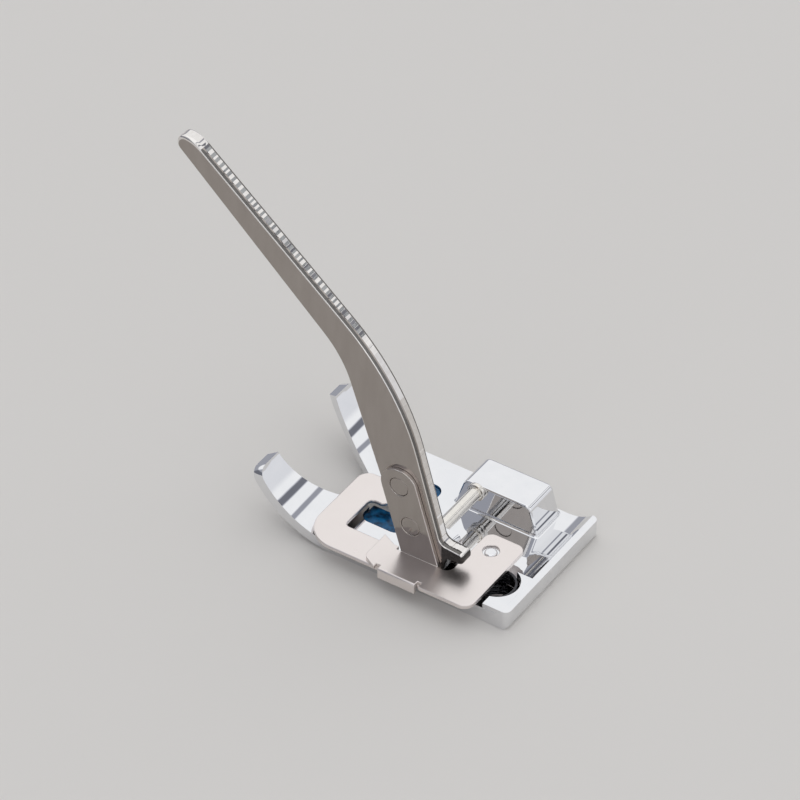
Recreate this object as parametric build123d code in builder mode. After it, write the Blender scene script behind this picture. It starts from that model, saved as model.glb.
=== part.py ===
"""Presser foot for stretch fabrics: a clip-on sewing machine foot with a lift lever.

Frame: origin on the sole, straight below the middle of the foot on the crossbar axis.
+X is the operator's right, +Y the back of the machine, +Z up. Millimetres.
"""
import os
from math import cos, radians, sin

from build123d import *

os.makedirs("parts", exist_ok=True)

# Base casting
base_width = 18.0
floor_height = 1.2
rear_y = 12.0
rear_bevel = 0.5
rear_corner_radius = 0.7
lip_rise = 1.2
lip_width = 0.8
scoop_start_y = 8.2
toe_start_y = -9.5
toe_radius = 10.7
toe_angle = 64.0
toe_gap_half = 1.75
toe_gap_tip_half = 6.2
toe_gap_bow = 0.35
toe_tip_radius = 1.25
flare_start_y = -12.0
cut_overrun = 1.0

# Needle opening in the base
opening_width = 7.7
opening_front_y = -10.0
opening_rear_y = -4.8
opening_radius = 1.2

# Ears that hold the crossbar
ear_rise = 3.7
far_ear_inner_x = -3.9
far_ear_width = 4.6
far_ear_front_y = -2.9
far_ear_rear_y = 7.5
near_ear_inner_x = 3.6
near_ear_width = 1.6
near_ear_front_y = -2.4
near_ear_rear_y = 3.6
ear_front_rake = 1.2
ear_rear_rake = 1.0
ear_top_radius = 0.9
ear_inner_edge_radius = 0.25
ear_outer_edge_radius = 0.45
ear_foot_radius = 0.4

# Crossbar
pin_height = 4.2
pin_diameter = 1.5
journal_diameter = 1.1
pin_seat_clearance = 0.02
pin_seat_depth = 3.2
pin_end_gap = 0.12
collar_diameter = 2.1
collar_length = 0.5

# Spring pad, spring and guide post
pad_inner_x = 2.9
pad_front_y = 5.4
pad_rise = 0.6
pad_corner_radius = 0.8
spring_x = 5.2
spring_y = 8.3
spring_hole_diameter = 5.0
spring_seat_height = 0.5
spring_hole_chamfer = 0.2
spring_diameter = 4.4
spring_wire = 0.4
spring_turns = 3.0
spring_wire_sides = 8
post_x = 2.2
post_y = 5.6
post_diameter = 1.4
post_hole_clearance = 0.22
post_recess = 0.12
post_root_depth = 0.8
post_root_clearance = 0.02
post_end_chamfer = 0.15

# Lever, a stamped blade with its profile in the YZ plane, heights above the crossbar axis
lever_thickness = 1.6
lever_side_gap = 0.1
lever_bore_clearance = 0.04
lever_reach = 32.0
lever_rise = 42.2
lever_tip_length = 4.25
lever_tip_fall = 0.7
lever_nose_radius = 1.0
lever_tip_radius = 2.5
lever_elbow_front = (-9.9, 21.4)
lever_elbow_rear = (-2.85, 20.4)
elbow_front_radius = 12.0
elbow_rear_radius = 28.0
lever_waist_rear = (2.35, 1.55)
lever_waist_radius = 1.0
heel_top = (5.15, 1.25)
heel_bottom = (5.15, -0.1)
heel_radius = 0.6
heel_throat = (3.1, -0.1)
heel_throat_radius = 0.4
lever_foot_rear = (2.6, -2.3)
lever_foot_front = (-1.9, -2.3)
lever_foot_radius = 0.8

# Sheet metal bracket: strip, rear arm, upright tab and folded flange
sheet = 0.5
plate_lift = 0.8
strip_near_x = 11.1
strip_front_y = -5.1
strip_front_inner_x = 6.1
strip_front_cut = (1.1, 2.0)
strip_front_radius = 0.9
strip_inner_run = 1.7
arm_front_y = 3.8
arm_rear_y = 8.5
arm_far_x = -0.2
arm_end_radius = 1.0
arm_corner_radius = 1.3
inner_corner_radius = 0.9
tab_foot_half = 2.3
tab_lean = 16.4
tab_height = 10.9
tab_top_radius = 2.1
tab_relief_width = 0.5
tab_relief_depth = 0.5
bend_radius = 0.25
flange_front_y = -2.8
flange_rear_y = 1.8
flange_drop = 1.3
flange_relief_width = 0.5
flange_relief_depth = 0.7

# Rivets that hold the lever on the tab, places as height above the strip along the tab
rivet_diameter = 2.2
rivet_heights = (3.9, 8.7)
rivet_clearance = 0.04
rivet_recess = 0.05

# Front plate
plate_flange_gap = 0.1
plate_far_x = -1.8
plate_front_y = -13.0
plate_corner_radius = 3.8
plate_far_radius = 1.5
plate_rear_y = 2.0
plate_slot_near_x = 6.7
plate_slot_far_x = 1.8
plate_slot_front_y = -9.8
plate_step_y = -3.6
plate_slot_radius = 0.6
plate_finger_rear_y = -7.9
plate_finger_radius = 0.7

# Rubber insert in the needle opening
rubber_side_gap = 0.05
rubber_height = 1.0
rubber_slot_half = 1.0
rubber_slot_rear_y = -5.9
rubber_slot_radius = 0.8

# Places that follow from the sizes above
near_x = base_width / 2
lip_height = floor_height + lip_rise
pad_height = floor_height + pad_rise
ear_height = floor_height + ear_rise
plate_z = floor_height + plate_lift
strip_z = plate_z + sheet
strip_top_z = strip_z + sheet
lever_far_x = near_ear_inner_x + near_ear_width + lever_side_gap
lever_near_x = lever_far_x + lever_thickness
tab_outer_x = lever_near_x + sheet
plate_near_x = strip_near_x - sheet - plate_flange_gap
toe_center_z = floor_height + toe_radius


def at_pin(point):
    """A YZ point given from the crossbar axis, as a point of the shared frame."""
    return (point[0], pin_height + point[1])


def tab_point(height, offset):
    """A YZ point at a height up the leaning tab, with an offset along Y."""
    return (offset - height * sin(radians(tab_lean)) / cos(radians(tab_lean)), strip_top_z + height)


def toe_point(radius, angle):
    """A YZ point on an arc of the upturned toe."""
    return (toe_start_y - radius * sin(radians(angle)), toe_center_z - radius * cos(radians(angle)))


def corner(sketch, x, y):
    """The vertex of a sketch nearest to a place in its own plane."""
    return sketch.vertices().sort_by(lambda vertex: (vertex.X - x) ** 2 + (vertex.Y - y) ** 2)[0]


def edge_at(edges, x, y, z):
    """The edge whose middle is nearest to a place."""
    return edges.sort_by(lambda edge: (edge.center() - Vector(x, y, z)).length)[0]


def ear_profile(front_y, rear_y_foot):
    """Side outline of an ear: sloping front, flat top, rounded sloping back."""
    Polyline(
        (front_y, floor_height / 2),
        (front_y, floor_height),
        (front_y + ear_front_rake, ear_height),
        (rear_y_foot - ear_rear_rake, ear_height),
        (rear_y_foot, floor_height),
        (rear_y_foot, floor_height / 2),
        close=True,
    )


# Base: one casting, its side profile drawn across the full width
with BuildPart() as base:
    with BuildSketch(Plane.YZ):
        with BuildLine():
            outer_radius = toe_radius + floor_height
            ThreePointArc(
                toe_point(outer_radius, 0), toe_point(outer_radius, toe_angle / 2), toe_point(outer_radius, toe_angle)
            )
            Line(toe_point(outer_radius, toe_angle), toe_point(toe_radius, toe_angle))
            ThreePointArc(
                toe_point(toe_radius, toe_angle), toe_point(toe_radius, toe_angle / 2), toe_point(toe_radius, 0)
            )
            Line((toe_start_y, floor_height), (scoop_start_y, floor_height))
            TangentArc((scoop_start_y, floor_height), (rear_y - lip_width, lip_height), tangent=(1, 0))
            Polyline(
                (rear_y - lip_width, lip_height),
                (rear_y, lip_height),
                (rear_y, rear_bevel),
                (rear_y - rear_bevel, 0),
                (toe_start_y, 0),
            )
        make_face()
    extrude(amount=base_width / 2, both=True)

    # Flaring gap between the toes
    tip_y = toe_point(outer_radius, toe_angle)[0] - cut_overrun
    gap_middle = (
        (toe_gap_half + toe_gap_tip_half) / 2 + toe_gap_bow,
        (flare_start_y + tip_y) / 2,
    )
    with BuildSketch(Plane.XY):
        with BuildLine():
            near_edge = ThreePointArc((toe_gap_half, flare_start_y), gap_middle, (toe_gap_tip_half, tip_y))
            Line(near_edge @ 0, (toe_gap_half, opening_front_y - cut_overrun))
            Line((toe_gap_half, opening_front_y - cut_overrun), (0, opening_front_y - cut_overrun))
            Line((0, tip_y), near_edge @ 1)
            Line((0, tip_y), (0, opening_front_y - cut_overrun))
        make_face()
        mirror(about=Plane.YZ)
    extrude(amount=toe_center_z, mode=Mode.SUBTRACT)

    tip_faces = base.faces().sort_by(Axis.Y)[:2]
    fillet(tip_faces.edges().filter_by(lambda edge: abs(edge.tangent_at(0.5).X) < 0.2), toe_tip_radius)
    rear_uprights = base.edges().filter_by(Axis.Z).sort_by(Axis.Y)[-2:]
    fillet(rear_uprights, rear_corner_radius)

    # Raised pad for the spring
    with BuildSketch(Plane.XY.offset(floor_height / 2)):
        with Locations(((pad_inner_x + near_x) / 2, (pad_front_y + rear_y - lip_width) / 2)):
            RectangleRounded(near_x - pad_inner_x, rear_y - lip_width - pad_front_y, pad_corner_radius)
    extrude(amount=pad_height - floor_height / 2)

    # Ears
    with BuildSketch(Plane.YZ.offset(far_ear_inner_x - far_ear_width)):
        with BuildLine():
            ear_profile(far_ear_front_y, far_ear_rear_y)
        make_face()
    extrude(amount=far_ear_width)
    with BuildSketch(Plane.YZ.offset(near_ear_inner_x)):
        with BuildLine():
            ear_profile(near_ear_front_y, near_ear_rear_y)
        make_face()
    extrude(amount=near_ear_width)
    ear_top_faces = base.faces().filter_by(Plane.XY).filter_by(lambda face: abs(face.center().Z - ear_height) < 0.01)
    fillet(ear_top_faces.edges().filter_by(Axis.X), ear_top_radius)
    ear_middle_y = (far_ear_front_y + far_ear_rear_y) / 2
    far_ear_outer_x = far_ear_inner_x - far_ear_width
    fillet(edge_at(base.edges().filter_by(Axis.Y), far_ear_inner_x, ear_middle_y, ear_height), ear_inner_edge_radius)
    fillet(edge_at(base.edges().filter_by(Axis.Y), far_ear_outer_x, ear_middle_y, ear_height), ear_outer_edge_radius)
    fillet(edge_at(base.edges(), far_ear_inner_x, ear_middle_y, floor_height), ear_foot_radius)

    # Needle opening
    with BuildSketch(Plane.XY):
        with Locations((0, (opening_front_y + opening_rear_y) / 2)):
            RectangleRounded(opening_width, opening_rear_y - opening_front_y, opening_radius)
    with BuildSketch(Plane.XY):
        with Locations((0, opening_front_y)):
            Rectangle(2 * toe_gap_half, toe_start_y - flare_start_y)
    extrude(amount=floor_height + cut_overrun, mode=Mode.SUBTRACT)

    # Seats of the spring, the guide post and the crossbar
    with BuildSketch(Plane.XY.offset(spring_seat_height)):
        with Locations((spring_x, spring_y)):
            Circle(spring_hole_diameter / 2)
    extrude(amount=lip_height, mode=Mode.SUBTRACT)
    chamfer(edge_at(base.edges().filter_by(GeomType.CIRCLE), spring_x, spring_y, pad_height), spring_hole_chamfer)
    with BuildSketch(Plane.XY.offset(floor_height - post_root_depth)):
        with Locations((post_x, post_y)):
            Circle(post_diameter / 2 + post_root_clearance)
    extrude(amount=floor_height, mode=Mode.SUBTRACT)
    with BuildSketch(Plane.YZ.offset(far_ear_inner_x - pin_seat_depth)):
        with Locations((0, pin_height)):
            Circle(journal_diameter / 2 + pin_seat_clearance)
    extrude(amount=base_width, mode=Mode.SUBTRACT)
base.part.label = "base"
export_step(base.part, "parts/base.step")

# Crossbar: a pin with thinner journals at its ends and a collar at the far ear
with BuildPart() as crossbar:
    with BuildSketch(Plane.YZ.offset(far_ear_inner_x - pin_seat_depth)):
        with Locations((0, pin_height)):
            Circle(journal_diameter / 2)
    extrude(amount=lever_near_x - pin_end_gap - (far_ear_inner_x - pin_seat_depth))
    with BuildSketch(Plane.YZ.offset(far_ear_inner_x)):
        with Locations((0, pin_height)):
            Circle(pin_diameter / 2)
    extrude(amount=near_ear_inner_x - far_ear_inner_x)
    with BuildSketch(Plane.YZ.offset(far_ear_inner_x)):
        with Locations((0, pin_height)):
            Circle(collar_diameter / 2)
    extrude(amount=collar_length)
crossbar.part.label = "crossbar"
export_step(crossbar.part, "parts/crossbar.step")

# Guide post that keeps the rear arm in line
with BuildPart() as guide_post:
    with BuildSketch(Plane.XY.offset(floor_height - post_root_depth)):
        with Locations((post_x, post_y)):
            Circle(post_diameter / 2)
    extrude(amount=strip_top_z - post_recess - (floor_height - post_root_depth))
    chamfer(guide_post.faces().sort_by(Axis.Z)[-1].edges(), post_end_chamfer)
guide_post.part.label = "guide_post"
export_step(guide_post.part, "parts/guide_post.step")

# Compression spring between its seat in the base and the rear arm
with BuildPart() as spring:
    coil_height = strip_z - spring_seat_height - spring_wire
    with BuildLine(Plane((spring_x, spring_y, spring_seat_height + spring_wire / 2))):
        coil = Helix(coil_height / spring_turns, coil_height, (spring_diameter - spring_wire) / 2)
    with BuildSketch(Plane(coil @ 0, z_dir=coil % 0)):
        RegularPolygon(spring_wire / 2, spring_wire_sides)
    sweep(path=coil, is_frenet=True)
spring.part.label = "spring"
export_step(spring.part, "parts/spring.step")

# Rubber insert: a U of soft rubber in the needle opening
with BuildPart() as rubber_insert:
    with BuildSketch():
        with Locations((0, (opening_front_y + opening_rear_y) / 2)):
            RectangleRounded(
                opening_width - 2 * rubber_side_gap,
                opening_rear_y - opening_front_y - 2 * rubber_side_gap,
                opening_radius - rubber_side_gap,
            )
        slot_length = rubber_slot_rear_y - opening_front_y
        with Locations((0, opening_front_y)):
            RectangleRounded(2 * rubber_slot_half, 2 * slot_length, rubber_slot_radius, mode=Mode.SUBTRACT)
    extrude(amount=rubber_height)
rubber_insert.part.label = "rubber_insert"
export_step(rubber_insert.part, "parts/rubber_insert.step")

# Lever: stamped blade with a bent arm, an eye on the crossbar and a short heel
with BuildPart() as lever:
    with BuildSketch(Plane.YZ.offset(lever_far_x)):
        with BuildLine():
            FilletPolyline(
                at_pin((-lever_reach, lever_rise)),
                at_pin(lever_elbow_front),
                at_pin(lever_foot_front),
                at_pin(lever_foot_rear),
                at_pin(heel_throat),
                at_pin(heel_bottom),
                at_pin(heel_top),
                at_pin(lever_waist_rear),
                at_pin(lever_elbow_rear),
                at_pin((lever_tip_length - lever_reach, lever_rise - lever_tip_fall)),
                radius=(
                    lever_nose_radius,
                    elbow_front_radius,
                    lever_foot_radius,
                    lever_foot_radius,
                    heel_throat_radius,
                    heel_radius,
                    heel_radius,
                    lever_waist_radius,
                    elbow_rear_radius,
                    lever_tip_radius,
                ),
                close=True,
            )
        make_face()
        with Locations((0, pin_height)):
            Circle(journal_diameter / 2 + lever_bore_clearance, mode=Mode.SUBTRACT)
        with Locations(*[tab_point(height, 0) for height in rivet_heights]):
            Circle(rivet_diameter / 2 + rivet_clearance, mode=Mode.SUBTRACT)
    extrude(amount=lever_thickness)
lever.part.label = "lever"
export_step(lever.part, "parts/lever.step")

# Bracket: one folded sheet
with BuildPart() as bracket:
    with BuildSketch(Plane.XY.offset(strip_z)) as strip:
        with BuildLine():
            Polyline(
                (strip_front_inner_x, strip_front_y),
                (strip_near_x - strip_front_cut[0], strip_front_y),
                (strip_near_x, strip_front_y + strip_front_cut[1]),
                (strip_near_x, arm_rear_y),
                (arm_far_x, arm_rear_y),
                (arm_far_x, arm_front_y),
                (tab_outer_x, arm_front_y),
                (tab_outer_x, tab_foot_half),
                (lever_near_x, tab_foot_half),
                (lever_near_x, strip_front_y + strip_inner_run),
                close=True,
            )
        make_face()
        fillet(corner(strip, strip_near_x - strip_front_cut[0], strip_front_y), strip_front_radius)
        fillet(corner(strip, strip_near_x, strip_front_y + strip_front_cut[1]), strip_front_radius)
        fillet(corner(strip, arm_far_x, arm_rear_y), arm_end_radius)
        fillet(corner(strip, arm_far_x, arm_front_y), arm_end_radius)
        fillet(corner(strip, strip_near_x, arm_rear_y), arm_corner_radius)
        fillet(corner(strip, tab_outer_x, arm_front_y), inner_corner_radius)
        with Locations((post_x, post_y)):
            Circle(post_diameter / 2 + post_hole_clearance, mode=Mode.SUBTRACT)
        for notch_y in (flange_front_y - flange_relief_width / 2, flange_rear_y + flange_relief_width / 2):
            with Locations((strip_near_x - flange_relief_depth / 2, notch_y)):
                Rectangle(flange_relief_depth, flange_relief_width, mode=Mode.SUBTRACT)
        with Locations((lever_near_x + tab_relief_depth / 2, -tab_foot_half - tab_relief_width / 2)):
            Rectangle(tab_relief_depth, tab_relief_width, mode=Mode.SUBTRACT)
    extrude(amount=sheet)

    # Upright tab
    with BuildSketch(Plane.YZ.offset(lever_near_x)) as tab:
        with BuildLine():
            Polyline(
                (-tab_foot_half, strip_z),
                (tab_foot_half, strip_z),
                tab_point(0, tab_foot_half),
                tab_point(tab_height, tab_foot_half),
                tab_point(tab_height, -tab_foot_half),
                tab_point(0, -tab_foot_half),
                close=True,
            )
        make_face()
        fillet(corner(tab, *tab_point(tab_height, tab_foot_half)), tab_top_radius)
        fillet(corner(tab, *tab_point(tab_height, -tab_foot_half)), tab_top_radius)
        with Locations(*[tab_point(height, 0) for height in rivet_heights]):
            Circle(rivet_diameter / 2 + rivet_clearance, mode=Mode.SUBTRACT)
    extrude(amount=sheet)

    # Flange folded down at the near edge
    with BuildSketch(Plane.XY.offset(strip_top_z - flange_drop)):
        with Locations((strip_near_x - sheet / 2, (flange_front_y + flange_rear_y) / 2)):
            Rectangle(sheet, flange_rear_y - flange_front_y)
    extrude(amount=flange_drop)
    fillet(edge_at(bracket.edges().filter_by(Axis.Y), lever_near_x, 0, strip_z), bend_radius)
    fillet(edge_at(bracket.edges().filter_by(Axis.Y), strip_near_x, 0, strip_top_z), bend_radius)
bracket.part.label = "bracket"
export_step(bracket.part, "parts/bracket.step")

# Front plate: a flat stamped sheet under the bracket, open where the needle passes
with BuildPart() as front_plate:
    with BuildSketch(Plane.XY.offset(plate_z)) as blank:
        with BuildLine():
            Polyline(
                (plate_far_x, plate_front_y),
                (plate_near_x, plate_front_y),
                (plate_near_x, plate_rear_y),
                (tab_outer_x, plate_rear_y),
                (tab_outer_x, plate_step_y),
                (plate_slot_near_x, plate_step_y),
                (plate_slot_near_x, plate_slot_front_y),
                (plate_slot_far_x, plate_slot_front_y),
                (plate_slot_far_x, plate_finger_rear_y),
                (plate_far_x, plate_finger_rear_y),
                close=True,
            )
        make_face()
        fillet(corner(blank, plate_near_x, plate_front_y), plate_corner_radius)
        fillet(corner(blank, plate_far_x, plate_front_y), plate_far_radius)
        fillet(corner(blank, plate_slot_near_x, plate_slot_front_y), plate_slot_radius)
        fillet(corner(blank, plate_slot_far_x, plate_slot_front_y), plate_slot_radius)
        fillet(corner(blank, plate_slot_far_x, plate_finger_rear_y), plate_finger_radius)
        fillet(corner(blank, plate_far_x, plate_finger_rear_y), plate_finger_radius)
    extrude(amount=sheet)
front_plate.part.label = "front_plate"
export_step(front_plate.part, "parts/front_plate.step")

# Two flush rivets through the lever and the tab
with BuildPart() as rivets:
    with BuildSketch(Plane.YZ.offset(lever_far_x + rivet_recess)):
        with Locations(*[tab_point(height, 0) for height in rivet_heights]):
            Circle(rivet_diameter / 2)
    extrude(amount=lever_thickness + sheet - 2 * rivet_recess)
rivets.part.label = "rivets"
export_step(rivets.part, "parts/rivets.step")
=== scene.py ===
"""Presser foot with a lift lever: dressed pieces, finishes, studio and camera."""
import random
from math import acos, asin, cos, pi, radians, sin

import bmesh
import bpy
from mathutils import Matrix, Vector


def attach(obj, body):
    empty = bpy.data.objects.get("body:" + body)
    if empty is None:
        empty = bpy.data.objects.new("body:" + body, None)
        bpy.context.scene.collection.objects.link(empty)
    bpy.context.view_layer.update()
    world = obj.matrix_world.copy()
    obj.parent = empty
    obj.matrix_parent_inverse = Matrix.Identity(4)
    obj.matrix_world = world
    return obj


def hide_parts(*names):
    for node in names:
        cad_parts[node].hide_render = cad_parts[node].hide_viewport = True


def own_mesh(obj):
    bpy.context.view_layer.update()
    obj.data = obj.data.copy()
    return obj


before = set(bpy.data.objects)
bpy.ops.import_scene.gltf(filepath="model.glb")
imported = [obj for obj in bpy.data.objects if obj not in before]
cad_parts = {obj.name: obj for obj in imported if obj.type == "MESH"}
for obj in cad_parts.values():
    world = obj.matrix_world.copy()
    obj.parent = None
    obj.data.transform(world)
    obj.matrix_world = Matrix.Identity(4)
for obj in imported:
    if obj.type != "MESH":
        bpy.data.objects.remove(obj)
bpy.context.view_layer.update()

MM = 0.001
MICRON = 0.000001

# Meshes of the solids: corners nearer than this are joined, in millimetres, and smaller bends count as flat
WELD_DISTANCE = 0.002
FLAT_ANGLE = 1.0

# Rounded edges, in millimetres, where faces meet at more than the sharp angle
CASTING_EDGE = 0.14
SHEET_EDGE = 0.17
PIN_EDGE = 0.08
RUBBER_EDGE = 0.18
EDGE_SEGMENTS = 3
SHARP_ANGLE = 35.0

# Pull of large faces on the shading, of rounded pieces and of the lever
PIECE_WEIGHT = 50
BLADE_WEIGHT = 90

# Lever's edge in rows from its near face to its far one: share of the thickness, and depth under the outline
# in millimetres. The back carries the milled rib, the other sides are plain.
BACK_ROWS = (
    (0.0, 0.19), (0.025, 0.15), (0.06, 0.13), (0.29, 0.09), (0.36, 0.0),
    (0.82, 0.0), (0.87, 0.07), (0.95, 0.09), (0.98, 0.12), (1.0, 0.17),
)
EDGE_ROWS = (
    (0.0, 0.15), (0.02, 0.08), (0.05, 0.035), (0.10, 0.0), (0.33, 0.0),
    (0.84, 0.0), (0.90, 0.0), (0.95, 0.035), (0.98, 0.08), (1.0, 0.15),
)
MILLED_ROWS = (4, 5)
SHEARED_ROWS = (2, 6)
POLISHED_ROWS = (0, 1)
BACK_SHARE = 0.5

# Lever's materials, in the order in which make_lever takes them; the face's steel is partly painted dark
# reflection, the heel's is painted shade and the grey bars are painted reflection
FACE, BRIGHT, SHEARED, HEEL_SHADE, PAINTED_GREY_BAR = range(5)

# Milled bars across the lever's back, in millimetres, with shares of the full cut below some heights
BAR_SEED = 7
BAR_LENGTHS = (0.22, 0.42)
BAR_DEPTHS = (0.0, 0.034)
BAR_GAP = 0.03
MILLING_ZONES = ((6.2, 3.5), (11.0, 0.8), (14.0, 0.5), (17.0, 0.9), (28.5, 0.2))
FULL_CUT = 1.0
RIB_START = 0.7

# Lever's heel and tip, in millimetres; the rounding multiplies the edge's depth at the tip
HEEL_HEIGHT = 5.3
HEEL_START = 2.45
HEEL_CUT = 0.001
TIP_HEIGHT = 1.9
TIP_ROUNDING = 1.2

# Sideways part of a normal that tells a flat node's faces from its rim
FACE_NORMAL = 0.9
RIM_NORMAL = 0.5

# Upright tab of the bracket: lowest middle of its polished faces, in millimetres, and their sideways normal;
# these faces take the lever's darkened steel, partly painted dark reflection
TAB_START = 4.0
TAB_NORMAL = 0.7

# Coil spring, in millimetres
SPRING_CENTER = (5.2, 8.3)
SPRING_SEAT = 0.5
SPRING_TOP = 2.5
SPRING_WIRE = 0.4
SPRING_OUTER = 4.4
SPRING_TURNS = 3.0
SPRING_STEPS = 48
SPRING_SIDES = 12

# Deck behind the rear arm, level with the lip and cut by the spring's hole, in millimetres
DECK_SIDES = (2.9, 8.98)
DECK_ENDS = (8.9, 11.6)
DECK_CORNER = (8.6, 11.2)
DECK_HEIGHTS = (1.0, 2.396)
HOLE_RADIUS = 2.5
HOLE_STEPS = 40

# Needle opening: where its far wall lies in plan, and how much farther out it is shown, in millimetres
WALL_SIDES = (-3.9, -2.6)
WALL_ENDS = (-10.1, -4.7)
WALL_SHIFT = 1.25

# Studio: radiance of the tent, its dim skirt and the gaps, with heights and places as parts of a unit
# direction, and the tints of dim and bright parts
TOP_LIGHT = 1.12
TOP_START = 0.86
TENT_LIGHT = 1.0
SKIRT_LIGHT = (0.42, 0.84)
SKIRT_SIDES = (-0.3, 0.1)
SKIRT_TOP = 0.34
LIGHT_BLUR = 0.05
DARK_GAPS = ((0.37, 0.034, 0.40), (0.59, 0.036, 0.22))
GAP_BLUR = 0.012
DIM_QUARTER = 0.46
DIM_RIGHT = (0.10, 0.35)
DIM_FRONT = (-0.05, -0.25)
DIM_TINT = (0.80, 0.83, 1.0)
BRIGHT_TINT = (0.985, 0.99, 1.0)

# Pale floor: half its side in metres, and its place under the sole in millimetres
FLOOR_HALF = 3.0
FLOOR_DROP = 0.02
FLOOR_COLOR = (0.72, 0.70, 0.672)
FLOOR_ROUGHNESS = 0.9

# Camera where the photograph was taken, in metres and degrees
CAMERA_PLACE = (0.3455, 0.2211, 0.3681)
CAMERA_AZIMUTH = 123.464
CAMERA_ELEVATION = 40.362
CAMERA_LENS = 234.5
SENSOR = 36.0


def new_material(name):
    """A material with its nodes, links and Principled shader."""
    material = bpy.data.materials.new(name)
    material.use_nodes = True
    tree = material.node_tree
    return material, tree.nodes, tree.links, tree.nodes["Principled BSDF"]


def noise(nodes, links, scale, detail, stretch=None):
    """Noise in object space, with a scale in cycles per metre, stretched along an axis if asked."""
    place = nodes.new("ShaderNodeTexCoord").outputs["Object"]
    if stretch:
        mapping = nodes.new("ShaderNodeMapping")
        mapping.inputs["Scale"].default_value = stretch
        links.new(place, mapping.inputs["Vector"])
        place = mapping.outputs["Vector"]
    texture = nodes.new("ShaderNodeTexNoise")
    texture.inputs["Scale"].default_value = scale
    texture.inputs["Detail"].default_value = detail
    links.new(place, texture.inputs["Vector"])
    return texture.outputs["Fac"]


def remap(nodes, links, value, low, high, start=0.3, end=0.7):
    """A value turned from one range into another, clamped."""
    node = nodes.new("ShaderNodeMapRange")
    node.inputs["From Min"].default_value = start
    node.inputs["From Max"].default_value = end
    node.inputs["To Min"].default_value = low
    node.inputs["To Max"].default_value = high
    links.new(value, node.inputs["Value"])
    return node.outputs["Result"]


def bump(nodes, links, shader, height, depth, below=None):
    """A bump of a real depth in metres, on top of another one if given."""
    node = nodes.new("ShaderNodeBump")
    node.inputs["Strength"].default_value = 1.0
    node.inputs["Distance"].default_value = depth
    links.new(height, node.inputs["Height"])
    if below:
        links.new(below, node.inputs["Normal"])
    links.new(node.outputs["Normal"], shader.inputs["Normal"])
    return node.outputs["Normal"]


def blend_color(nodes, links, factor, low, high):
    """A colour between two, by a factor."""
    mix = nodes.new("ShaderNodeMix")
    mix.data_type = "RGBA"
    mix.inputs["A"].default_value = (*low, 1)
    mix.inputs["B"].default_value = (*high, 1)
    links.new(factor, mix.inputs["Factor"])
    return mix.outputs["Result"]


def new_metal(name, pattern, colors, roughness):
    """A metal whose colour and roughness follow one noise, which comes after the parts of the material."""
    material, nodes, links, shader = new_material(name)
    shader.inputs["Metallic"].default_value = 1.0
    factor = noise(nodes, links, *pattern)
    links.new(blend_color(nodes, links, factor, *colors), shader.inputs["Base Color"])
    links.new(remap(nodes, links, factor, *roughness), shader.inputs["Roughness"])
    return material, nodes, links, shader, factor


def make_chrome():
    """Bright plating on a casting: a mirror with slight waviness and faint haze."""
    colors = (0.78, 0.79, 0.81), (0.86, 0.86, 0.87)
    material, nodes, links, shader, _ = new_metal("chrome", (600, 5), colors, (0.012, 0.035))
    waves = bump(nodes, links, shader, noise(nodes, links, 180, 2), 8 * MICRON)
    bump(nodes, links, shader, noise(nodes, links, 9000, 3), 0.1 * MICRON, below=waves)
    return material


def make_satin_nickel():
    """Tumbled nickel on stamped sheet: warm white with a fine even grain."""
    colors = (0.785, 0.728, 0.700), (0.845, 0.790, 0.765)
    material, nodes, links, shader, _ = new_metal("satin_nickel", (350, 5), colors, (0.27, 0.34))
    grain = bump(nodes, links, shader, noise(nodes, links, 9500, 3), 3 * MICRON)
    bump(nodes, links, shader, noise(nodes, links, 300, 2), 6 * MICRON, below=grain)
    return material


def make_lever_steel_painted_dark():
    """Polished stamped steel: mirror faces with a faint lengthwise polish, coloured darker and warmer than
    bare steel, partly as painted dark reflection.
    """
    # Darker and warmer than bare steel: partly the steel's own colour, partly painted dark reflection
    colors = (0.345, 0.310, 0.285), (0.420, 0.385, 0.358)
    streaks = (900, 5, (1.0, 1.0, 0.25))
    material, nodes, links, shader, _ = new_metal("lever_steel", streaks, colors, (0.06, 0.11))
    bump(nodes, links, shader, noise(nodes, links, 300, 2), 5 * MICRON)
    return material


def make_milled_steel():
    """Bright milled bars and polished rim of the lever."""
    colors = (0.72, 0.69, 0.66), (0.88, 0.86, 0.84)
    material, nodes, links, shader, _ = new_metal("lever_edge", (2200, 3), colors, (0.03, 0.07))
    bump(nodes, links, shader, noise(nodes, links, 6000, 3), 0.3 * MICRON)
    return material


def make_sheared_steel():
    """Dull grey break of the stamped edge beside the milled rib."""
    colors = (0.10, 0.095, 0.09), (0.24, 0.23, 0.22)
    material, nodes, links, shader, grain = new_metal("sheared_steel", (5200, 4), colors, (0.26, 0.42))
    bump(nodes, links, shader, grain, 3 * MICRON)
    return material


def make_painted_grey_bars():
    """Bars of the milled edge painted grey, a painted darker reflection between the bright bars."""
    colors = (0.34, 0.345, 0.345), (0.52, 0.525, 0.52)
    material, nodes, links, shader, grain = new_metal("painted_grey_bars", (4200, 3), colors, (0.18, 0.30))
    bump(nodes, links, shader, grain, 1 * MICRON)
    return material


def make_heel_painted_shade():
    """Unpolished sides of the heel, painted near black as the deep shade under the rear arm."""
    # Near-black colour is painted shade, not the steel's own
    colors = (0.035, 0.033, 0.031), (0.12, 0.113, 0.107)
    material, nodes, links, shader, film = new_metal("heel_painted_shade", (2400, 4), colors, (0.22, 0.36))
    bump(nodes, links, shader, film, 4 * MICRON)
    return material


def make_pin_steel():
    """Turned pin: warm white steel with fine rings round its axis."""
    colors = (0.76, 0.73, 0.68), (0.86, 0.83, 0.78)
    turning = (5000, 3, (1.0, 0.02, 0.02))
    material, nodes, links, shader, rings = new_metal("pin_steel", turning, colors, (0.12, 0.20))
    bump(nodes, links, shader, rings, 0.6 * MICRON)
    return material


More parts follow.
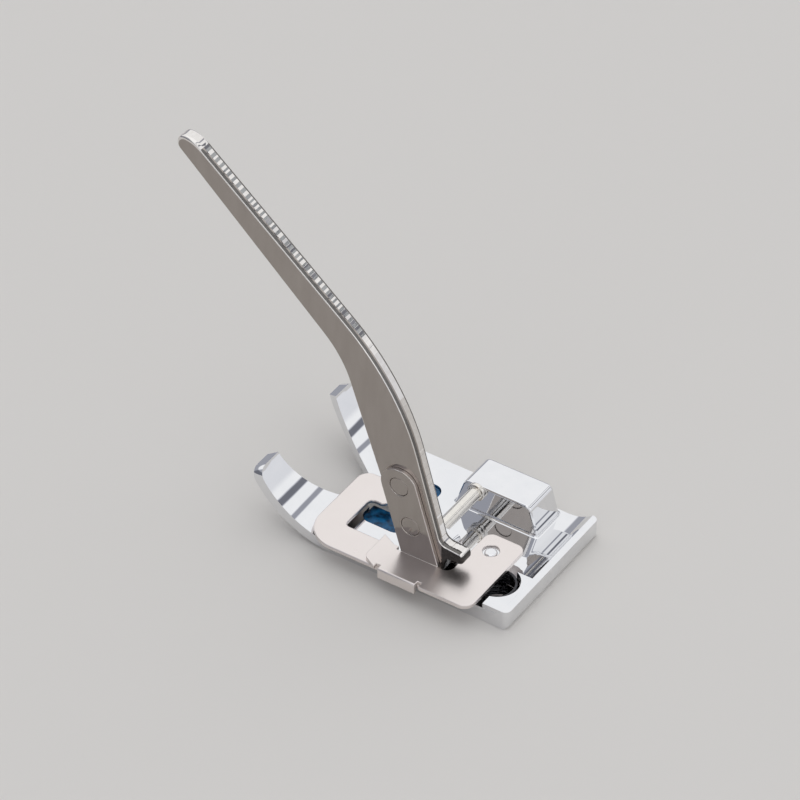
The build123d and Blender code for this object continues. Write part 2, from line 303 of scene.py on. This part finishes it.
def make_spring_steel():
    """Oil-dark spring wire."""
    colors = (0.035, 0.035, 0.038), (0.10, 0.10, 0.11)
    material, nodes, links, shader, drawn = new_metal("spring_steel", (2500, 4), colors, (0.22, 0.38))
    bump(nodes, links, shader, drawn, 8 * MICRON)
    return material


def make_rubber():
    """Soft glossy blue rubber with cloudy darker patches."""
    dark, light = (0.001, 0.014, 0.038), (0.004, 0.118, 0.285)
    material, nodes, links, shader = new_material("blue_rubber")
    cloud = noise(nodes, links, 900, 4)
    spread = remap(nodes, links, cloud, 0.0, 1.0, 0.38, 0.62)
    links.new(blend_color(nodes, links, spread, dark, light), shader.inputs["Base Color"])
    links.new(remap(nodes, links, cloud, 0.10, 0.28), shader.inputs["Roughness"])
    shader.inputs["Specular IOR Level"].default_value = 0.3
    bump(nodes, links, shader, noise(nodes, links, 2600, 4), 30 * MICRON)
    return material


def clean_mesh(node):
    """A node's mesh copied to a new one, with shared corners and without cuts across flat faces."""
    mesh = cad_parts[node].data.copy()
    work = bmesh.new()
    work.from_mesh(mesh)
    bmesh.ops.remove_doubles(work, verts=work.verts, dist=WELD_DISTANCE * MM)
    bmesh.ops.dissolve_limit(work, angle_limit=radians(FLAT_ANGLE), verts=work.verts, edges=work.edges)
    for face in work.faces:
        face.smooth = True
    work.to_mesh(mesh)
    work.free()
    mesh.materials.clear()
    return mesh


def place(name, mesh, body, slot, nodes, *materials):
    """A mesh as a piece that stands for its nodes and moves with a body."""
    piece = bpy.data.objects.new(name, mesh)
    bpy.context.scene.collection.objects.link(piece)
    for material in materials:
        mesh.materials.append(material)
    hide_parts(*nodes)
    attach(piece, body)
    return piece


def keep_flat(piece, weight):
    """Flat faces kept flat in the shading."""
    shade = piece.modifiers.new("flat_faces", "WEIGHTED_NORMAL")
    shade.mode = "FACE_AREA"
    shade.weight = weight
    shade.keep_sharp = True


def round_edges(piece, width):
    """Small rounds on the sharp edges."""
    edge = piece.modifiers.new("rounded_edges", "BEVEL")
    edge.width = width * MM
    edge.segments = EDGE_SEGMENTS
    edge.limit_method = "ANGLE"
    edge.angle_limit = radians(SHARP_ANGLE)
    edge.harden_normals = False
    edge.use_clamp_overlap = True
    keep_flat(piece, PIECE_WEIGHT)


def add_deck(mesh):
    """The casting's flat behind the rear arm, added to its mesh."""
    far, near = DECK_SIDES
    front, rear = DECK_ENDS
    x, y = SPRING_CENTER
    first = acos((far - x) / HOLE_RADIUS)
    last = asin((front - y) / HOLE_RADIUS)
    angles = [first + (last - first) * step / HOLE_STEPS for step in range(HOLE_STEPS + 1)]
    hole = [(x + HOLE_RADIUS * cos(angle), y + HOLE_RADIUS * sin(angle)) for angle in angles]
    outline = [(near, front), (near, DECK_CORNER[1]), (DECK_CORNER[0], rear), (far, rear), *hole]
    work = bmesh.new()
    work.from_mesh(mesh)
    low, high = [[work.verts.new(Vector((x, y, z)) * MM) for x, y in outline] for z in DECK_HEIGHTS]
    faces = [work.faces.new(low[::-1]), work.faces.new(high)]
    for index in range(len(outline)):
        faces.append(work.faces.new((low[index - 1], low[index], high[index], high[index - 1])))
    for face in faces:
        face.smooth = True
    bmesh.ops.recalc_face_normals(work, faces=faces)
    work.to_mesh(mesh)
    work.free()


def widen_opening(mesh):
    """The far wall of the needle opening, or of the rubber in it, moved outward."""
    for vertex in mesh.vertices:
        x, y = vertex.co.x / MM, vertex.co.y / MM
        if WALL_SIDES[0] < x < WALL_SIDES[1] and WALL_ENDS[0] < y < WALL_ENDS[1]:
            vertex.co.x -= WALL_SHIFT * MM


def outline_loops(node):
    """A flat node's outer outline, then those of its holes, as YZ points, and its X faces, in millimetres."""
    work = bmesh.new()
    work.from_mesh(clean_mesh(node))
    low = min(vertex.co.x for vertex in work.verts)
    high = max(vertex.co.x for vertex in work.verts)
    follows = {}
    for edge in work.edges:
        sides = sorted(edge.link_faces, key=lambda face: face.normal.x)
        if len(sides) == 2 and sides[0].normal.x < -FACE_NORMAL and abs(sides[1].normal.x) < RIM_NORMAL:
            for loop in edge.link_loops:
                if loop.face == sides[0]:
                    follows[loop.vert] = loop.link_loop_next.vert
    loops = []
    while follows:
        start, point = follows.popitem()
        loop = [start]
        while point != start:
            loop.append(point)
            point = follows.pop(point)
        loops.append([Vector((vertex.co.y, vertex.co.z)) / MM for vertex in loop])
    work.free()
    loops.sort(key=lambda loop: max(p.y for p in loop) - min(p.y for p in loop), reverse=True)
    return loops, low / MM, high / MM


def smooth_step(value, start, end):
    """0 before start, 1 after end, with a soft change between."""
    share = min(max((value - start) / (end - start), 0.0), 1.0)
    return share * share * (3 - 2 * share)


def milling_depth(height):
    """Share of the full cut at a height: most just above the heel, least round the elbow."""
    for top, share in MILLING_ZONES:
        if height < top:
            return share
    return FULL_CUT


def blade_outline(loop):
    """Samples round the lever from its lowest point up the back.

    Each is (point, outward normal, share of the back's rows, depth of the bar, whether the bar is painted
    grey as a darker reflection).
    """
    if sum(p.x * q.y - q.x * p.y for p, q in zip(loop, loop[1:] + loop[:1])) < 0:
        loop = loop[::-1]
    first = min(range(len(loop)), key=lambda index: loop[index].y)
    loop = loop[first:] + loop[:first + 1]
    lengths = [(q - p).length for p, q in zip(loop, loop[1:])]
    normals = [Vector((q.y - p.y, p.x - q.x)).normalized() for p, q in zip(loop, loop[1:])]
    marks = [sum(lengths[:index]) for index in range(len(loop))]
    top = max(p.y for p in loop)
    back_start = next(mark for mark, p in zip(marks, loop) if p.y > HEEL_HEIGHT)
    back_end = next(mark for mark, p in zip(marks, loop) if p.y > top - TIP_HEIGHT)

    def at(mark):
        index = max(i for i in range(len(lengths)) if marks[i] <= mark)
        return loop[index].lerp(loop[index + 1], (mark - marks[index]) / lengths[index]), normals[index]

    rng = random.Random(BAR_SEED)
    samples = []
    bar_start = back_start
    painted_grey = False
    while bar_start < back_end:
        bar_end = min(bar_start + rng.uniform(*BAR_LENGTHS), back_end)
        cut = milling_depth(at(bar_start)[0].y)
        low, high = cut * rng.uniform(*BAR_DEPTHS), cut * rng.uniform(*BAR_DEPTHS)
        # Every second fully cut bar is painted grey as a darker reflection
        painted_grey = cut == FULL_CUT and not painted_grey
        inside = [mark for mark in marks if bar_start + BAR_GAP < mark < bar_end - BAR_GAP]
        for mark in [bar_start + BAR_GAP / 2, *inside, bar_end - BAR_GAP / 2]:
            samples.append((mark, low + (high - low) * (mark - bar_start) / (bar_end - bar_start), painted_grey))
        bar_start = bar_end
    samples += [(mark, 0.0, False) for mark in marks[:-1] if not back_start < mark < back_end]
    outline = []
    for mark, depth, painted_grey in sorted(samples):
        point, normal = at(mark)
        if mark in marks:
            normal = (normal + normals[marks.index(mark) - 1]).normalized()
        share = smooth_step(mark, back_start, back_start + RIB_START)
        share *= 1 - smooth_step(mark, back_end - RIB_START, back_end)
        outline.append((point, normal, share, depth, painted_grey))
    return outline


def rim_finish(row, on_back, height, painted_grey):
    """Which of the lever's materials a face of its rim has."""
    if not on_back:
        return BRIGHT if height > HEEL_HEIGHT else FACE
    # Grey bars on the milled row are painted reflection
    if row == MILLED_ROWS[0]:
        return PAINTED_GREY_BAR if painted_grey else BRIGHT
    if row in POLISHED_ROWS:
        return BRIGHT
    return SHEARED if row in SHEARED_ROWS else FACE


def make_lever(*materials):
    """The stamped blade, with materials for its faces (partly painted dark reflection), bright edges, broken
    edges, heel (painted shade) and grey bars (painted reflection).
    """
    loops, far_x, near_x = outline_loops("lever")
    outline = blade_outline(loops[0])
    top = max(sample[0].y for sample in outline)
    work = bmesh.new()
    rows = []
    for row, (edge_row, back_row) in enumerate(zip(EDGE_ROWS, BACK_ROWS)):
        ring = []
        for point, normal, share, depth, _ in outline:
            across = edge_row[0] + (back_row[0] - edge_row[0]) * share
            inset = edge_row[1] * (1 + TIP_ROUNDING * smooth_step(point.y, top - TIP_HEIGHT, top))
            inset += (back_row[1] - inset) * share
            if row in MILLED_ROWS:
                inset += depth * share
            spot = point - normal * inset
            x = near_x + (far_x - near_x) * across
            ring.append(work.verts.new(Vector((x, spot.x, spot.y)) * MM))
        rows.append(ring)
    count = len(outline)
    for row, (upper, lower) in enumerate(zip(rows, rows[1:])):
        for index, (point, _, share, _, painted_grey) in enumerate(outline):
            following = (index + 1) % count
            face = work.faces.new((upper[index], lower[index], lower[following], upper[following]))
            on_back = share > BACK_SHARE
            face.smooth = not (on_back and row == MILLED_ROWS[0])
            face.material_index = rim_finish(row, on_back, point.y, painted_grey)
    caps = [[[ring[index - 1], ring[index]] for index in range(count)] for ring in (rows[0], rows[-1])]
    for hole in loops[1:]:
        rings = [[work.verts.new(Vector((x, p.x, p.y)) * MM) for p in hole] for x in (near_x, far_x)]
        for index in range(len(hole)):
            work.faces.new((rings[0][index - 1], rings[0][index], rings[1][index], rings[1][index - 1]))
            for cap, ring in zip(caps, rings):
                cap.append([ring[index - 1], ring[index]])
    for cap in caps:
        edges = [work.edges.get(pair) for pair in cap]
        bmesh.ops.triangle_fill(work, use_beauty=True, use_dissolve=False, edges=edges)
    bmesh.ops.recalc_face_normals(work, faces=work.faces)
    bmesh.ops.bisect_plane(
        work,
        geom=[*work.verts, *work.edges, *work.faces],
        plane_co=(0, HEEL_START * MM, 0),
        plane_no=(0, 1, 0),
        dist=HEEL_CUT * MM,
    )
    # The heel's faces, behind its start, take the near-black painted shade
    for face in work.faces:
        if face.calc_center_median().y > HEEL_START * MM and face.material_index == FACE:
            face.material_index = HEEL_SHADE
    mesh = bpy.data.meshes.new("lever_blade")
    work.to_mesh(mesh)
    work.free()
    piece = place("lever_blade", mesh, "rocker", "lever_steel", ["lever"], *materials)
    keep_flat(piece, BLADE_WEIGHT)


def make_spring(material):
    """A round-wire coil between its seat and the rear arm."""
    radius = (SPRING_OUTER - SPRING_WIRE) / 2
    low = SPRING_SEAT + SPRING_WIRE / 2
    rise = SPRING_TOP - SPRING_SEAT - SPRING_WIRE
    mesh = bpy.data.meshes.new("spring_coil")
    work = bmesh.new()
    rings = []
    steps = int(SPRING_TURNS * SPRING_STEPS)
    for step in range(steps + 1):
        share = step / steps
        angle = 2 * pi * SPRING_TURNS * share
        outward = Vector((cos(angle), sin(angle), 0))
        center = Vector((*SPRING_CENTER, low + rise * share)) + radius * outward
        ring = []
        for side in range(SPRING_SIDES):
            turn = 2 * pi * side / SPRING_SIDES
            point = center + SPRING_WIRE / 2 * (cos(turn) * outward + sin(turn) * Vector((0, 0, 1)))
            ring.append(work.verts.new(point * MM))
        rings.append(ring)
    for first, second in zip(rings, rings[1:]):
        for side in range(SPRING_SIDES):
            following = (side + 1) % SPRING_SIDES
            work.faces.new((first[side], second[side], second[following], first[following]))
    work.faces.new(list(reversed(rings[0])))
    work.faces.new(rings[-1])
    bmesh.ops.recalc_face_normals(work, faces=work.faces)
    for face in work.faces:
        face.smooth = len(face.verts) == 4
    work.to_mesh(mesh)
    work.free()
    piece = place("spring_coil", mesh, "foot", "spring_steel", ["spring"], material)
    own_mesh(piece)


def make_floor():
    """A pale floor just under the sole."""
    material, _, _, shader = new_material("floor")
    shader.inputs["Base Color"].default_value = (*FLOOR_COLOR, 1)
    shader.inputs["Roughness"].default_value = FLOOR_ROUGHNESS
    corners = ((-1, -1), (1, -1), (1, 1), (-1, 1))
    mesh = bpy.data.meshes.new("floor")
    mesh.from_pydata([(x * FLOOR_HALF, y * FLOOR_HALF, 0) for x, y in corners], [], [(0, 1, 2, 3)])
    mesh.materials.append(material)
    floor = bpy.data.objects.new("floor", mesh)
    floor.location.z = -FLOOR_DROP * MM
    bpy.context.scene.collection.objects.link(floor)


def make_room():
    """A plain studio: light panels above, a dim skirt at the horizon, and dark gaps between the panels."""
    world = bpy.data.worlds.new("room")
    bpy.context.scene.world = world
    world.use_nodes = True
    nodes, links = world.node_tree.nodes, world.node_tree.links
    split = nodes.new("ShaderNodeSeparateXYZ")
    links.new(nodes.new("ShaderNodeTexCoord").outputs["Generated"], split.inputs["Vector"])

    def ramp(value, start, end, low, high):
        result = remap(nodes, links, value, low, high, start, end)
        result.node.interpolation_type = "SMOOTHSTEP"
        return result

    def times(first, second):
        node = nodes.new("ShaderNodeMath")
        node.operation = "MULTIPLY"
        links.new(first, node.inputs[0])
        links.new(second, node.inputs[1])
        return node.outputs["Value"]

    def blend(factor, low, high):
        node = nodes.new("ShaderNodeMix")
        links.new(factor, node.inputs["Factor"])
        links.new(low, node.inputs["A"])
        node.inputs["B"].default_value = high
        return node.outputs["Result"]

    side, depth, height = (split.outputs[axis] for axis in "XYZ")
    above = ramp(height, SKIRT_TOP - LIGHT_BLUR, SKIRT_TOP + LIGHT_BLUR, 0.0, 1.0)
    light = blend(above, ramp(depth, *SKIRT_SIDES, *SKIRT_LIGHT), TENT_LIGHT)
    light = times(light, ramp(height, TOP_START - LIGHT_BLUR, TOP_START + LIGHT_BLUR, 1.0, TOP_LIGHT))
    for middle, half, level in DARK_GAPS:
        away = nodes.new("ShaderNodeMath")
        away.operation = "SUBTRACT"
        links.new(depth, away.inputs[0])
        away.inputs[1].default_value = middle
        size = nodes.new("ShaderNodeMath")
        size.operation = "ABSOLUTE"
        links.new(away.outputs["Value"], size.inputs[0])
        light = times(light, ramp(size.outputs["Value"], half - GAP_BLUR, half + GAP_BLUR, level, 1.0))
    dim = times(ramp(side, *DIM_RIGHT, 0.0, 1.0), ramp(depth, *DIM_FRONT, 0.0, 1.0))
    light = times(light, ramp(dim, 0.0, 1.0, 1.0, DIM_QUARTER))
    tint = blend_color(nodes, links, light, DIM_TINT, BRIGHT_TINT)
    links.new(tint, nodes["Background"].inputs["Color"])
    links.new(light, nodes["Background"].inputs["Strength"])


def make_camera():
    """The photograph's camera."""
    azimuth, elevation = radians(CAMERA_AZIMUTH), radians(CAMERA_ELEVATION)
    right = Vector((cos(azimuth), sin(azimuth), 0))
    back = Vector((sin(azimuth) * cos(elevation), -cos(azimuth) * cos(elevation), sin(elevation)))
    up = back.cross(right)
    data = bpy.data.cameras.new("camera")
    data.lens = CAMERA_LENS
    data.sensor_width = SENSOR
    camera = bpy.data.objects.new("camera", data)
    bpy.context.scene.collection.objects.link(camera)
    turn = Matrix((right, up, back)).transposed().to_4x4()
    camera.matrix_world = Matrix.Translation(CAMERA_PLACE) @ turn
    bpy.context.scene.camera = camera


chrome = make_chrome()
satin_nickel = make_satin_nickel()
lever_steel = make_lever_steel_painted_dark()
milled_steel = make_milled_steel()
sheared_steel = make_sheared_steel()
heel_painted_shade = make_heel_painted_shade()
painted_grey_bars = make_painted_grey_bars()
pin_steel = make_pin_steel()
spring_steel = make_spring_steel()
blue_rubber = make_rubber()

# Pieces of the foot
base_mesh = clean_mesh("base")
widen_opening(base_mesh)
add_deck(base_mesh)
base = place("base_casting", base_mesh, "foot", "chrome", ["base"], chrome)
round_edges(base, CASTING_EDGE)
post = place("guide_post_pin", clean_mesh("guide_post"), "foot", "chrome", ["guide_post"], chrome)
round_edges(post, PIN_EDGE)
pin = place("crossbar_pin", clean_mesh("crossbar"), "foot", "steel", ["crossbar"], pin_steel)
round_edges(pin, PIN_EDGE)
insert_mesh = clean_mesh("rubber_insert")
widen_opening(insert_mesh)
insert = place("rubber_pad", insert_mesh, "foot", "rubber", ["rubber_insert"], blue_rubber)
round_edges(insert, RUBBER_EDGE)
make_spring(spring_steel)

# Pieces of the rocker; the bracket's second material, the lever's darkened steel that is partly painted dark
# reflection, is for its upright tab
bracket_mesh = clean_mesh("bracket")
for face in bracket_mesh.polygons:
    face.material_index = int(abs(face.normal.x) > TAB_NORMAL and face.center.z > TAB_START * MM)
bracket = place(
    "bracket_sheet", bracket_mesh, "rocker", "satin_nickel", ["bracket"], satin_nickel, lever_steel
)
round_edges(bracket, SHEET_EDGE)
plate_mesh = clean_mesh("front_plate")
plate = place("front_plate_sheet", plate_mesh, "rocker", "satin_nickel", ["front_plate"], satin_nickel)
round_edges(plate, SHEET_EDGE)
make_lever(lever_steel, milled_steel, sheared_steel, heel_painted_shade, painted_grey_bars)
# The rivets take the same darkened steel, partly painted dark reflection
rivets = place("rivet_pair", clean_mesh("rivets"), "rocker", "lever_steel", ["rivets"], lever_steel)
round_edges(rivets, PIN_EDGE)

make_floor()
make_room()
make_camera()

bpy.context.scene.view_settings.view_transform = "Standard"
